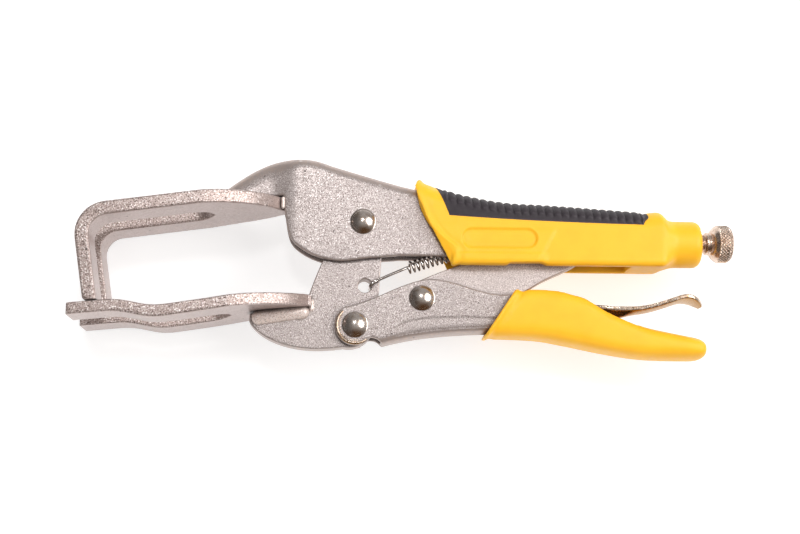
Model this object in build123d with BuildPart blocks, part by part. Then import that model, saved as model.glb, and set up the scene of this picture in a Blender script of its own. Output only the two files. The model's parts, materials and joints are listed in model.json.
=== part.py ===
from build123d import *

import math
import os

# Forked-jaw locking clamp, lying on its side.
# X runs from the jaws (-X) to the adjusting knob (+X), Y runs from the lower handle up to the
# upper handle, and Z is across the tool, so every pivot turns about Z. The origin is the centre
# of the bounding box. Every outline is drawn on the tool's mid-plane from the jaw pivot's axis.

# ---- driving dimensions, in millimetres ----
JAW_PIVOT = (-20.05, 15.056)     # the jaw pivot's axis in the row frame
HANDLE_PIVOT = (-3.2, -43.9)     # lower jaw to lower handle, from the jaw pivot
TOGGLE_PIVOT = (24.8, -32.4)     # lower handle to toggle link
LINK_END = (97.0, -6.7)          # where the link bears on the screw
LEVER_PIVOT = (74.0, -38.6)      # release lever in the lower handle
SPRING_ANCHOR = (58.0, -6.2)     # cross pin that holds the return spring

BODY_HALF = 7.0                  # half the outer width of both folded channels
SHEET = 2.4                      # channel sheet thickness
GAP_HALF = BODY_HALF - SHEET     # half the room between two cheeks
PLATE_HALF = 4.3                 # jaw plate, link and lever run between the cheeks

FORK_HALF = 26.0                 # half the width of a forked jaw
SLOT_HALF = 8.3                  # half the slot between its prongs
SHOULDER_R = 50.0                # bow of a forked jaw's sides behind its prongs
UPPER_FORK_T = 5.6
LOWER_FORK_T = 5.0
TIP_GAP = 0.3                    # between the upper tips and the lower fork

RIVET_R = 3.6
RIVET_HEAD_R = 5.4
RIVET_HEAD_H = 2.6
RUN_CLEAR = 0.05                 # radial clearance of a pivot

SCREW_Y = -6.7                   # the adjusting screw's axis, above the jaw pivot
SCREW_R = 4.2
SCREW_TIP_X = 105.0
SCREW_END_X = 150.0
NUT_R = 6.0
SOCKET_R = 8.0
SOCKET_X = (127.0, 143.5)
KNOB_X = (147.7, 159.1)
KNOB_R = 8.1

GRIP_HALF = 11.6
GRIP_FIT = 0.15                  # room between a grip and the channel inside it


def side(height=0.0):
    """Plane across the tool at a height above its mid-plane, with its origin on the jaw pivot."""
    return Plane(origin=(JAW_PIVOT[0], JAW_PIVOT[1], height))


def across(x, y):
    """Plane square to the tool's length at x, centred at height y above the jaw pivot."""
    return Plane(
        origin=(JAW_PIVOT[0] + x, JAW_PIVOT[1] + y, 0.0), x_dir=(0, 1, 0), z_dir=(1, 0, 0)
    )


# Plan view: local x is X, local y is Z.
PLAN = Plane(origin=(JAW_PIVOT[0], JAW_PIVOT[1], 0.0), x_dir=(1, 0, 0), z_dir=(0, -1, 0))
ACROSS_ALL = 100.0               # longer than any cut has to be


def finish(piece, name):
    piece.part.label = name
    os.makedirs("parts", exist_ok=True)
    export_step(piece.part, "parts/" + name + ".step")


def lower_fork_top():
    """The lower fork's top line: a flat pad at the tips, a dip, then a slow climb to the root."""
    return [(-104.0, -36.9), (-97.0, -37.0), (-86.0, -38.8), (-76.0, -37.9), (-62.0, -35.7),
            (-45.0, -33.0), (-30.0, -31.5), (-21.5, -31.2)]


PAD_FRONT = (-119.0, -38.3)
PAD_REAR = lower_fork_top()[0]
PAD_SLOPE = math.atan2(PAD_REAR[1] - PAD_FRONT[1], PAD_REAR[0] - PAD_FRONT[0])


def pad_height(x):
    """Height of the lower fork's flat pad at x."""
    return PAD_FRONT[1] + (x - PAD_FRONT[0]) * math.tan(PAD_SLOPE)


def fork_plan(shoulder_x, neck_x, root_x, root_half, slot_end_x, front_x):
    """Plan of a forked jaw: full width to the shoulder, then bowed sides in to a straight neck."""
    with BuildSketch(PLAN) as plan:
        with BuildLine():
            upper = RadiusArc((neck_x, root_half), (shoulder_x, FORK_HALF), -SHOULDER_R)
            lower = RadiusArc((shoulder_x, -FORK_HALF), (neck_x, -root_half), -SHOULDER_R)
            Polyline(upper @ 0, (root_x, root_half), (root_x, -root_half), lower @ 1)
            Polyline(upper @ 1, (front_x, FORK_HALF), (front_x, -FORK_HALF), lower @ 0)
        make_face()
        slot_start = front_x - SLOT_HALF
        slot_length = slot_end_x - slot_start
        with Locations(((slot_start + slot_end_x) / 2, 0)):
            SlotOverall(slot_length, 2 * SLOT_HALF, mode=Mode.SUBTRACT)
    return plan.sketch


# ---- upper body: one sheet folded over into a channel that is open below ----
BEAK_TOP_Y = 10.5                # underside of the beak, on the fork
BEAK_TIP = (-62.0, BEAK_TOP_Y - 0.1)
CREST = [BEAK_TIP, (-56.8, 14.9), (-48.0, 21.1), (-40.0, 25.2), (-33.9, 26.8),
         (-26.6, 27.4), (-19.7, 26.7), (-11.6, 24.1), (0.7, 20.5), (15.8, 16.3), (28.0, 13.6)]
# The crest drops further inside the upper grip.
HANDLE_CREST = [CREST[-1], (44.0, 9.8), (58.0, 7.4), (90.0, 5.4), (127.0, 3.0)]
CHIN = [(-33.4, 5.6), (-31.4, -4.7), (-30.0, -8.0), (-27.2, -10.8), (-16.1, -16.0),
        (-8.0, -16.8), (0.0, -15.8), (7.6, -15.1), (15.6, -14.4)]
CHIN_END = (127.0, -14.7)


def body_outline():
    """Side outline of the upper channel."""
    with BuildSketch(side()) as outline:
        with BuildLine():
            crest = Spline(*CREST)
            handle_crest = Polyline(*HANDLE_CREST)
            Line(handle_crest @ 1, CHIN_END)
            Line(CHIN_END, CHIN[-1])
            chin = Spline(*CHIN)
            Line(chin @ 0, (-33.6, BEAK_TOP_Y))
            Line((-33.6, BEAK_TOP_Y), BEAK_TIP)
        make_face()
    return outline.sketch


def body_plan(root_half, beak_half):
    """Plan of the upper body: the beak's half width flares to the cheeks' half width."""
    with BuildSketch(PLAN) as plan:
        with BuildLine():
            near = Spline(
                (-40.0, beak_half), (-27.0, root_half), tangents=[(1, 0), (1, 0)]
            )
            far = Spline(
                (-27.0, -root_half), (-40.0, -beak_half), tangents=[(-1, 0), (-1, 0)]
            )
            nose = ThreePointArc((-57.5, -beak_half), (-62.5, 0), (-57.5, beak_half))
            Line(nose @ 1, near @ 0)
            Polyline(near @ 1, (140.0, root_half), (140.0, -root_half), far @ 0)
            Line(far @ 1, nose @ 0)
        make_face()
    return plan.sketch


with BuildPart() as upper_body:
    add(extrude(body_outline(), amount=BODY_HALF, both=True))
    crest_edges = [
        e for e in upper_body.edges()
        if abs(abs(e.center().Z) - BODY_HALF) < 0.01
        and (e @ 0.5).Y - JAW_PIVOT[1] > 4.0
        and e.length > 20.0
    ]
    fillet(crest_edges, radius=3.6)
    extrude(body_plan(BODY_HALF, 5.0), amount=ACROSS_ALL, both=True, mode=Mode.INTERSECT)
    # The space between the cheeks, open along the bottom.
    with BuildSketch(side()):
        with BuildLine():
            roof = Spline((-31.0, 22.0), (-19.0, 23.6), (0.0, 18.0), (16.0, 13.6), (28.0, 11.0))
            handle_roof = Polyline(roof @ 1, *[(x, y - SHEET) for x, y in HANDLE_CREST[1:]])
            Polyline(handle_roof @ 1, (128.0, 0.6), (128.0, -30.0), (-60.0, -30.0), (-60.0, BEAK_TOP_Y - 0.3),
                     (-33.0, BEAK_TOP_Y - 0.3), roof @ 0)
        make_face()
    extrude(amount=GAP_HALF, both=True, mode=Mode.SUBTRACT)
    # Under the beak the two cheeks close to a narrow hollow.
    with BuildSketch(side()):
        with BuildLine():
            hollow = Spline((-54.0, 10.0), (-46.0, 18.0), (-39.0, 22.0), (-30.0, 23.5))
            Polyline(hollow @ 1, (-30.0, 0.0), (-54.0, 0.0), hollow @ 0)
        make_face()
    extrude(amount=2.2, both=True, mode=Mode.SUBTRACT)
    # Socket for the threaded bush, closed out of the same sheet.
    with BuildSketch(across(SOCKET_X[0], SCREW_Y)):
        Circle(SOCKET_R)
    extrude(amount=SOCKET_X[1] - SOCKET_X[0])
    with BuildSketch(across(SOCKET_X[0] - 6.0, SCREW_Y)):
        Circle(NUT_R)
    extrude(amount=ACROSS_ALL, mode=Mode.SUBTRACT)
    with BuildSketch(side(-ACROSS_ALL)):
        Circle(RIVET_R)
        with Locations(SPRING_ANCHOR):
            Circle(1.5)
    extrude(amount=2 * ACROSS_ALL, mode=Mode.SUBTRACT)
finish(upper_body, "upper_body")

# ---- upper jaw: a blanked U plate bent down at its tips ----
ARM_SLOPE = math.radians(7.8)
ARM_TOP = (-75.0, 7.5)
LEG_TOP = (-116.6, -12.7)
LEG_SLOPE = math.radians(9.0)


def arm_y(x, drop=0.0):
    """Height of the arm's top line at x, less a drop measured square to the arm."""
    return ARM_TOP[1] + (x - ARM_TOP[0]) * math.tan(ARM_SLOPE) - drop / math.cos(ARM_SLOPE)


def leg_x(y, inset=0.0):
    """Place of the leg's outer line at height y, moved in by an inset square to the leg."""
    return LEG_TOP[0] + (LEG_TOP[1] - y) * math.tan(LEG_SLOPE) + inset / math.cos(LEG_SLOPE)


with BuildPart() as upper_jaw_fork:
    tip_outer = leg_x(pad_height(-112.0) + TIP_GAP)
    tip_inner = leg_x(pad_height(-107.0) + TIP_GAP, UPPER_FORK_T)
    with BuildSketch(side()):
        with BuildLine():
            corner_out = FilletPolyline(
                (tip_outer, pad_height(tip_outer) + TIP_GAP),
                (leg_x(1.5), arm_y(leg_x(1.5))),
                (-70.0, arm_y(-70.0)),
                radius=13.5,
            )
            top_bow = Spline(
                corner_out @ 1, (-47.0, 10.3), (-34.0, 10.3),
                tangents=[(math.cos(ARM_SLOPE), math.sin(ARM_SLOPE)), (1, 0)],
            )
            Line(top_bow @ 1, (-34.0, 4.7))
            under_bow = Spline(
                (-34.0, 4.7), (-47.0, 4.7), (-70.0, arm_y(-70.0, UPPER_FORK_T)),
                tangents=[(-1, 0), (-math.cos(ARM_SLOPE), -math.sin(ARM_SLOPE))],
            )
            corner_in = FilletPolyline(
                under_bow @ 1,
                (leg_x(-3.5, UPPER_FORK_T), arm_y(leg_x(-3.5, UPPER_FORK_T), UPPER_FORK_T)),
                (tip_inner, pad_height(tip_inner) + TIP_GAP),
                radius=8.0,
            )
            Line(corner_in @ 1, corner_out @ 0)
        make_face()
    extrude(amount=FORK_HALF, both=True)
    extrude(
        fork_plan(-66.0, -37.5, -33.9, 5.4, -63.0, -130.0),
        amount=ACROSS_ALL, both=True, mode=Mode.INTERSECT,
    )
    # Tang between the cheeks.
    with BuildSketch(side()):
        with Locations((-31.5, 7.5)):
            Rectangle(6.0, UPPER_FORK_T)
    extrude(amount=GAP_HALF - 0.1, both=True)
    # Ground facet across the tips' outer edge.
    tip_edges = upper_jaw_fork.edges().filter_by(Axis.Z).group_by(Axis.Y)[0].sort_by(Axis.X)
    chamfer([tip_edges[0], tip_edges[1]], length=1.0)
    # The beak beds into the fork's top.
    add(upper_body.part, mode=Mode.SUBTRACT)
finish(upper_jaw_fork, "upper_jaw_fork")


def bead(points, radius):
    """Weld bead: a round rod along a straight line between two points."""
    start, end = Vector(*points[0]), Vector(*points[1])
    line_plane = Plane(origin=start, z_dir=end - start)
    with BuildPart() as rod:
        with BuildSketch(line_plane):
            Circle(radius)
        extrude(amount=(end - start).length)
        fillet(rod.edges().filter_by(GeomType.CIRCLE), radius=radius * 0.6)
    return rod.part


def from_pivot(x, y, z):
    return (JAW_PIVOT[0] + x, JAW_PIVOT[1] + y, z)


WELD_R = 1.3
with BuildPart() as upper_jaw_weld:
    for z in (-1, 1):
        add(bead((from_pivot(-33.9, 4.6, z * 6.6), from_pivot(-33.9, 10.6, z * 6.6)), WELD_R))
    for z in (-1, 1):
        add(bead((from_pivot(-56.0, 10.6, z * 4.9), from_pivot(-39.0, 10.8, z * 4.9)), WELD_R))
    add(upper_body.part, mode=Mode.SUBTRACT)
    add(upper_jaw_fork.part, mode=Mode.SUBTRACT)
finish(upper_jaw_weld, "upper_jaw_weld")

# ---- lower jaw: plate between the cheeks, with a forked plate welded into its notch ----
SPRING_HOLE = (0.9, -27.0)
SPRING_HOLE_R = 2.95
with BuildPart() as lower_jaw_plate:
    with BuildSketch(side()):
        with BuildLine():
            eye = ThreePointArc((9.2, -1.0), (0.0, 9.2), (-9.0, -2.0))
            front = Spline(eye @ 1, (-16.8, -16.5), (-22.5, -31.2))
            Polyline(front @ 1, (-21.4, -36.4), (-47.0, -39.2), (-47.2, -42.6))
            belly = Spline(
                (-47.2, -42.6), (-43.4, -46.8), (-38.2, -50.0), (-27.2, -53.3),
                (-19.7, -53.9), (-8.0, -53.0),
            )
            heel = ThreePointArc(belly @ 1, (1.5, -50.6), (5.2, -42.0))
            Polyline(heel @ 1, (6.8, -30.3), (8.0, -14.9), eye @ 0)
        make_face()
        with Locations(SPRING_HOLE):
            Circle(SPRING_HOLE_R, mode=Mode.SUBTRACT)
        with Locations((0, 0), HANDLE_PIVOT):
            Circle(RIVET_R + RUN_CLEAR, mode=Mode.SUBTRACT)
    extrude(amount=PLATE_HALF, both=True)
finish(lower_jaw_plate, "lower_jaw_plate")

with BuildPart() as lower_jaw_fork:
    with BuildSketch(side()):
        with BuildLine():
            top = Spline(
                *lower_fork_top(),
                tangents=[(math.cos(PAD_SLOPE), math.sin(PAD_SLOPE)), (1, 0.0)],
            )
            under = Spline(
                *[(x, y - LOWER_FORK_T) for x, y in lower_fork_top()],
                tangents=[(math.cos(PAD_SLOPE), math.sin(PAD_SLOPE)), (1, 0.0)],
            )
            Line(top @ 1, under @ 1)
            Polyline(top @ 0, PAD_FRONT, (PAD_FRONT[0], PAD_FRONT[1] - LOWER_FORK_T), under @ 0)
        make_face()
    extrude(amount=FORK_HALF, both=True)
    extrude(
        fork_plan(-55.0, -27.0, -21.5, BODY_HALF, -55.0, -130.0),
        amount=ACROSS_ALL, both=True, mode=Mode.INTERSECT,
    )
    add(lower_jaw_plate.part, mode=Mode.SUBTRACT)
finish(lower_jaw_fork, "lower_jaw_fork")

BEAD_R = 3.0
END_BEAD_R = 1.7
with BuildPart() as lower_jaw_welds:
    for z in (-1, 1):
        root_z = z * PLATE_HALF
        add(bead((from_pivot(-21.9, -38.4, root_z), from_pivot(-45.5, -41.2, root_z)), BEAD_R))
        add(bead((from_pivot(-21.6, -31.6, root_z), from_pivot(-20.9, -38.6, root_z)), END_BEAD_R))
    add(lower_jaw_plate.part, mode=Mode.SUBTRACT)
    add(lower_jaw_fork.part, mode=Mode.SUBTRACT)
finish(lower_jaw_welds, "lower_jaw_welds")

# ---- lower handle: a channel open above, with a fork of two cheeks at its front ----
EYE_R = 8.5
with BuildPart() as lower_handle:
    with BuildSketch(side()):
        with BuildLine():
            shoulder = Spline(
                (-7.6, -36.6), (7.7, -31.2), (20.5, -25.9), (28.4, -24.3), (36.0, -25.3),
                (44.6, -27.8), (62.0, -30.6),
            )
            Polyline(shoulder @ 1, (84.0, -31.6), (92.0, -36.0), (103.0, -44.6), (112.0, -47.2),
                     (139.0, -50.4))
            end = Line((139.0, -50.4), (139.0, -55.4))
            belly = Spline(
                end @ 1, (116.0, -54.2), (85.0, -48.9), (72.0, -46.8), (50.5, -46.5),
                (24.1, -48.7), (8.2, -52.1),
            )
            notch = ThreePointArc(belly @ 1, (4.2, -49.2), (-0.5, -52.0))
            ThreePointArc(notch @ 1, (-11.4, -46.2), shoulder @ 0)
        make_face()
    extrude(amount=BODY_HALF, both=True)
    belly_edges = [
        e for e in lower_handle.edges()
        if abs(abs(e.center().Z) - BODY_HALF) < 0.01
        and (e @ 0.5).Y - JAW_PIVOT[1] < -45.0
        and e.length > 60.0
    ]
    fillet(belly_edges, radius=3.6)
    # The space between the cheeks: open above and at the front.
    with BuildSketch(side()):
        with BuildLine():
            floor = Spline(
                (138.0, -52.9), (116.0, -51.7), (85.0, -46.4), (72.0, -44.4), (50.5, -44.1),
                (24.1, -46.3), (8.0, -49.9),
            )
            Polyline(floor @ 1, (2.0, -60.0), (-30.0, -60.0), (-30.0, 0.0), (138.0, 0.0),
                     floor @ 0)
        make_face()
    extrude(amount=GAP_HALF, both=True, mode=Mode.SUBTRACT)
    with BuildSketch(side(-ACROSS_ALL)):
        with Locations(HANDLE_PIVOT, TOGGLE_PIVOT):
            Circle(RIVET_R)
        with Locations(LEVER_PIVOT):
            Circle(2.5)
    extrude(amount=2 * ACROSS_ALL, mode=Mode.SUBTRACT)
finish(lower_handle, "lower_handle")

# ---- toggle link: a folded sheet with its fold below, closed at its nose ----
LINK_ANGLE = math.atan2(LINK_END[1] - TOGGLE_PIVOT[1], LINK_END[0] - TOGGLE_PIVOT[0])
LINK_LENGTH = math.hypot(LINK_END[1] - TOGGLE_PIVOT[1], LINK_END[0] - TOGGLE_PIVOT[0])
LINK_EYE_R = 7.6
LINK_NOSE_R = 4.5
LINK_SHEET = 2.0


def link_point(along, across_it):
    """Point beside the line from the toggle pivot to the link's nose."""
    x = TOGGLE_PIVOT[0] + along * math.cos(LINK_ANGLE) - across_it * math.sin(LINK_ANGLE)
    y = TOGGLE_PIVOT[1] + along * math.sin(LINK_ANGLE) + across_it * math.cos(LINK_ANGLE)
    return (x, y)


def link_outline():
    """Side outline of the toggle link, from its eye to its nose."""
    with BuildSketch(side()) as outline:
        with BuildLine():
            back = ThreePointArc(
                link_point(0, -LINK_EYE_R), link_point(-LINK_EYE_R, 0), link_point(0, LINK_EYE_R)
            )
            top = Spline(
                back @ 1, link_point(30, 8.2), link_point(58, 6.4),
                link_point(LINK_LENGTH, LINK_NOSE_R),
            )
            nose = ThreePointArc(
                top @ 1, link_point(LINK_LENGTH + LINK_NOSE_R, 0),
                link_point(LINK_LENGTH, -LINK_NOSE_R),
            )
            Spline(
                nose @ 1, link_point(62, -8.6), link_point(50, -9.8), link_point(42, -11.4),
                link_point(24, -10.2), back @ 0,
            )
        make_face()
    return outline.sketch


with BuildPart() as toggle_link:
    add(extrude(link_outline(), amount=PLATE_HALF, both=True))
    # Hollow of the fold: open along the top between the eye and the solid nose.
    with BuildSketch(side()):
        with BuildLine():
            Polyline(
                link_point(-20, -LINK_EYE_R + LINK_SHEET), link_point(24, -10.2 + LINK_SHEET),
                link_point(42, -11.2 + LINK_SHEET), link_point(58, -8.6 + LINK_SHEET),
                link_point(62, 20), link_point(-20, 20), close=True,
            )
        make_face()
    extrude(amount=PLATE_HALF - LINK_SHEET, both=True, mode=Mode.SUBTRACT)
    with BuildSketch(side(-ACROSS_ALL)):
        with Locations(TOGGLE_PIVOT):
            Circle(RIVET_R + RUN_CLEAR)
    extrude(amount=2 * ACROSS_ALL, mode=Mode.SUBTRACT)
finish(toggle_link, "toggle_link")

# ---- release lever: a boss on its pin, and a spoon-shaped strip for a tail ----
LEVER_TAIL = [(92.0, -33.2), (98.0, -33.9), (104.0, -34.8), (111.0, -35.1), (118.0, -34.8),
              (125.0, -33.3), (131.0, -31.4), (137.0, -29.8), (141.0, -30.2), (144.6, -32.2)]
LEVER_SHEET = 1.8
with BuildPart() as release_lever:
    with BuildSketch(side()):
        with BuildLine():
            ridge = Spline(*LEVER_TAIL)
            keel = Spline(*[(x, y - LEVER_SHEET) for x, y in reversed(LEVER_TAIL)])
            Line(ridge @ 1, keel @ 0)
            Line(keel @ 1, ridge @ 0)
        make_face()
    extrude(amount=8.4, both=True)
    with BuildSketch(PLAN):
        with BuildLine():
            near_edge = Spline(
                (137.0, 8.3), (130.0, 8.0), (118.0, 6.9), (106.0, 6.2), (99.0, PLATE_HALF)
            )
            far_edge = Spline(
                (99.0, -PLATE_HALF), (106.0, -6.2), (118.0, -6.9), (130.0, -8.0), (137.0, -8.3)
            )
            Polyline(near_edge @ 1, (60.0, PLATE_HALF), (60.0, -PLATE_HALF), far_edge @ 0)
            ThreePointArc(far_edge @ 1, (145.2, 0.0), near_edge @ 0)
        make_face()
    extrude(amount=ACROSS_ALL, both=True, mode=Mode.INTERSECT)
    # The boss round the pin reaches back under the strip's root.
    with BuildSketch(side()):
        with BuildLine():
            back = Spline((66.2, -32.6), (72.0, -33.4), (82.0, -33.2), (97.0, -34.2))
            sole = Spline((97.0, -36.6), (86.0, -41.2), (76.0, -42.8), (69.0, -40.5), (65.2, -34.6))
            Line(back @ 1, sole @ 0)
            Line(sole @ 1, back @ 0)
        make_face()
    extrude(amount=PLATE_HALF, both=True)
    with BuildSketch(side(-ACROSS_ALL)):
        with Locations(LEVER_PIVOT):
            Circle(2.5 + RUN_CLEAR)
    extrude(amount=2 * ACROSS_ALL, mode=Mode.SUBTRACT)
finish(release_lever, "release_lever")


# ---- rivets: a shank and two domed heads ----
def rivet(name, place):
    with BuildPart() as piece:
        with BuildSketch(side(-BODY_HALF)):
            with Locations(place):
                Circle(RIVET_R)
        extrude(amount=2 * BODY_HALF)
        for turn in (1, -1):
            head_plane = Plane(
                origin=from_pivot(place[0], place[1], turn * BODY_HALF),
                x_dir=(1, 0, 0), z_dir=(0, -turn, 0),
            )
            with BuildSketch(head_plane):
                with BuildLine():
                    Line((0, 0), (RIVET_HEAD_R, 0))
                    RadiusArc(
                        (RIVET_HEAD_R, 0), (0, RIVET_HEAD_H),
                        -(RIVET_HEAD_R ** 2 + RIVET_HEAD_H ** 2) / (2 * RIVET_HEAD_H),
                    )
                    Line((0, RIVET_HEAD_H), (0, 0))
                make_face()
            revolve(axis=Axis(head_plane.origin, (0, 0, 1)))
    finish(piece, name)


rivet("jaw_pivot_rivet", (0.0, 0.0))
rivet("handle_pivot_rivet", HANDLE_PIVOT)
rivet("toggle_pivot_rivet", TOGGLE_PIVOT)


def pin(name, place, radius, half_length):
    with BuildPart() as piece:
        with BuildSketch(side(-half_length)):
            with Locations(place):
                Circle(radius)
        extrude(amount=2 * half_length)
    finish(piece, name)


pin("release_lever_pin", LEVER_PIVOT, 2.5, BODY_HALF)
pin("spring_anchor_pin", SPRING_ANCHOR, 1.5, BODY_HALF)

# ---- adjusting screw, its threaded bush and its knob ----
with BuildPart() as adjusting_screw:
    with BuildSketch(across(SCREW_TIP_X, SCREW_Y)):
        Circle(SCREW_R)
    extrude(amount=SCREW_END_X - SCREW_TIP_X)
    chamfer(adjusting_screw.faces().sort_by(Axis.X)[0].edges(), length=1.0)
finish(adjusting_screw, "adjusting_screw")

with BuildPart() as screw_bush:
    with BuildSketch(across(SOCKET_X[0] + 0.5, SCREW_Y)):
        Circle(NUT_R - 0.02)
        Circle(SCREW_R + RUN_CLEAR, mode=Mode.SUBTRACT)
    extrude(amount=SOCKET_X[1] - SOCKET_X[0] - 0.5)
finish(screw_bush, "screw_bush")

with BuildPart() as knurled_knob:
    with BuildSketch(across(KNOB_X[0], SCREW_Y)):
        Circle(KNOB_R)
    extrude(amount=KNOB_X[1] - KNOB_X[0])
    ends = knurled_knob.edges().filter_by(GeomType.CIRCLE).sort_by(Axis.X)
    chamfer(ends[-1], length=1.2)
    # The knob's inner face is dished round the screw.
    with BuildSketch(Plane(origin=from_pivot(KNOB_X[0], SCREW_Y, 0), x_dir=(1, 0, 0),
                           z_dir=(0, 0, 1))):
        with BuildLine():
            Polyline((-0.1, 4.9), (0.0, KNOB_R + 0.1), (4.6, KNOB_R + 0.1), (4.6, KNOB_R),
                     (1.6, 5.4), (1.6, 4.9), close=True)
        make_face()
    revolve(axis=Axis(from_pivot(0, SCREW_Y, 0), (1, 0, 0)), mode=Mode.SUBTRACT)
    with BuildSketch(across(KNOB_X[0] - 1, SCREW_Y)):
        Circle(SCREW_R + RUN_CLEAR)
    extrude(amount=1 + SCREW_END_X + RUN_CLEAR - KNOB_X[0], mode=Mode.SUBTRACT)
finish(knurled_knob, "knurled_knob")

# ---- return spring: a coil between two straight legs, hooked at both ends ----
WIRE_R = 0.6
COIL_R = 2.8
COIL_Z = 1.4                     # the coil's axis, above the mid-plane
COIL_START = (19.2, -18.9)
COIL_END = (48.0, -9.7)
LEG_Z = PLATE_HALF + 0.9         # the front leg lies on the jaw plate's near face
HOOK = (3.1, -27.2)
ANCHOR_LOOP_R = 2.15


def wire_plane(start, end):
    """Plane at a wire's start, square to its first run."""
    return Plane(origin=start, z_dir=Vector(*end) - Vector(*start))


with BuildPart() as return_spring:
    front_leg = [
        from_pivot(*HOOK, -LEG_Z), from_pivot(*HOOK, LEG_Z),
        from_pivot(4.9, -25.0, LEG_Z), from_pivot(*COIL_START, COIL_Z + COIL_R - WIRE_R),
    ]
    with BuildLine() as leg_path:
        FilletPolyline(*front_leg, radius=0.9)
    with BuildSketch(wire_plane(front_leg[0], front_leg[1])):
        Circle(WIRE_R)
    sweep(path=leg_path.line)
    coil_from = from_pivot(*COIL_START, COIL_Z)
    coil_to = from_pivot(*COIL_END, COIL_Z)
    coil_length = math.dist(coil_from, coil_to)
    with BuildSketch(wire_plane(coil_from, coil_to)):
        Circle(COIL_R)
        Circle(COIL_R - 2 * WIRE_R, mode=Mode.SUBTRACT)
    extrude(amount=coil_length)
    # Rear leg from the middle of the coil's last turn to the loop round the anchor pin.
    loop_middle = from_pivot(*SPRING_ANCHOR, COIL_Z)
    with BuildSketch(wire_plane(coil_to, loop_middle)):
        Circle(COIL_R - WIRE_R)
    extrude(amount=-1.0)
    with BuildSketch(wire_plane(coil_to, loop_middle)):
        Circle(WIRE_R)
    extrude(amount=math.dist(coil_to, loop_middle) - ANCHOR_LOOP_R)
    with Locations(loop_middle):
        Torus(ANCHOR_LOOP_R, WIRE_R)
finish(return_spring, "return_spring")

# ---- upper grip: a moulded shell round the upper handle, open below ----
GRIP_NOSE = [(24.0, 19.0), (31.5, 16.2)]
GRIP_SADDLE = [GRIP_NOSE[-1], (41.8, 13.2), (57.0, 10.2), (75.0, 9.2), (100.0, 7.6), (121.0, 6.2)]
GRIP_REAR = [GRIP_SADDLE[-1], (127.5, 6.4), (133.5, 2.6)]
GRIP_END_X = 145.3
BARREL_Y = -7.2                  # axis of the barrel round the socket
BARREL_R = 10.0
SLOT_END_X = 114.0
INSERT_T = 1.6                   # thickness of the ribbed insert


with BuildPart() as grip_form:
    with BuildSketch(side()):
        with BuildLine():
            lip = Polyline(*GRIP_NOSE)
            saddle = Spline(*GRIP_SADDLE)
            rear = Polyline(*GRIP_REAR)
            Polyline(rear @ 1, (133.5, -15.6), (126.5, -18.6), (37.2, -18.6), (37.9, -11.6))
            Spline(
                (37.9, -11.6), (32.7, -7.5), (28.4, -2.8), (25.5, 2.5), (22.0, 13.0), lip @ 0
            )
        make_face()
    extrude(amount=GRIP_HALF, both=True)
    crown_edges = [
        e for e in grip_form.edges()
        if abs(abs(e.center().Z) - GRIP_HALF) < 0.01
        and e.length > 60.0 and (e @ 0.5).Y - JAW_PIVOT[1] > 0.0
    ]
    chamfer(crown_edges, length=6.0)
    heel_edges = [
        e for e in grip_form.edges()
        if abs(abs(e.center().Z) - GRIP_HALF) < 0.01 and e.length > 60.0
    ]
    chamfer(heel_edges, length=2.0)
    # Round barrel over the socket.
    with BuildSketch(across(SLOT_END_X, BARREL_Y)):
        Circle(BARREL_R)
    extrude(amount=GRIP_END_X - SLOT_END_X)
    fillet(grip_form.edges().filter_by(GeomType.CIRCLE).sort_by(Axis.X)[-1], radius=3.5)

# The part of that form that stays yellow under the insert.
with BuildPart() as insert_bed:
    with BuildSketch(side()):
        with BuildLine():
            bed = Spline(*[(x, y - INSERT_T) for x, y in GRIP_SADDLE])
            Polyline(bed @ 1, (140.0, 4.0), (140.0, -30.0), (24.0, -30.0), (24.0, 16.5), bed @ 0)
        make_face()
    extrude(amount=GRIP_HALF - INSERT_T, both=True)
    bed_edges = [
        e for e in insert_bed.edges()
        if abs(abs(e.center().Z) - GRIP_HALF + INSERT_T) < 0.01
        and e.length > 60.0 and (e @ 0.5).Y - JAW_PIVOT[1] > 0.0
    ]
    chamfer(bed_edges, length=5.3)

with BuildPart() as insert_zone:
    with BuildSketch(side()):
        with BuildLine():
            Polyline((30.2, 30.0), (30.2, 14.0), (35.4, 3.0), (54.0, 1.8), (98.5, -0.2),
                     (119.0, -0.5), (121.4, 2.0), (121.8, 30.0), close=True)
        make_face()
    extrude(amount=ACROSS_ALL, both=True)

with BuildPart() as upper_grip_insert:
    add(grip_form.part)
    add(insert_zone.part, mode=Mode.INTERSECT)
    add(insert_bed.part, mode=Mode.SUBTRACT)
finish(upper_grip_insert, "upper_grip_insert")

with BuildPart() as upper_grip:
    add(grip_form.part)
    add(upper_grip_insert.part, mode=Mode.SUBTRACT)
    # Room for the folded body, and the slot below it.
    with BuildSketch(side()):
        with BuildLine():
            Polyline((10.0, 17.8 + GRIP_FIT), (15.8, 16.4 + GRIP_FIT),
                     *[(x, y + GRIP_FIT) for x, y in HANDLE_CREST],
                     (127.0 + GRIP_FIT, 3.0 + GRIP_FIT), (127.0 + GRIP_FIT, -14.7 - GRIP_FIT),
                     (SLOT_END_X, -14.8 - GRIP_FIT), (SLOT_END_X, -40.0), (10.0, -40.0),
                     close=True)
        make_face()
    extrude(amount=BODY_HALF + GRIP_FIT, both=True, mode=Mode.SUBTRACT)
    with BuildSketch(across(SOCKET_X[0] - 1.0, SCREW_Y)):
        Circle(SOCKET_R + GRIP_FIT)
    extrude(amount=ACROSS_ALL, mode=Mode.SUBTRACT)
    # Plain obround recess in the near face.
    with BuildSketch(side(GRIP_HALF)):
        with Locations((57.3, -7.4)):
            SlotOverall(31.5, 8.0)
    extrude(amount=-0.8, mode=Mode.SUBTRACT)
finish(upper_grip, "upper_grip")

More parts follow.
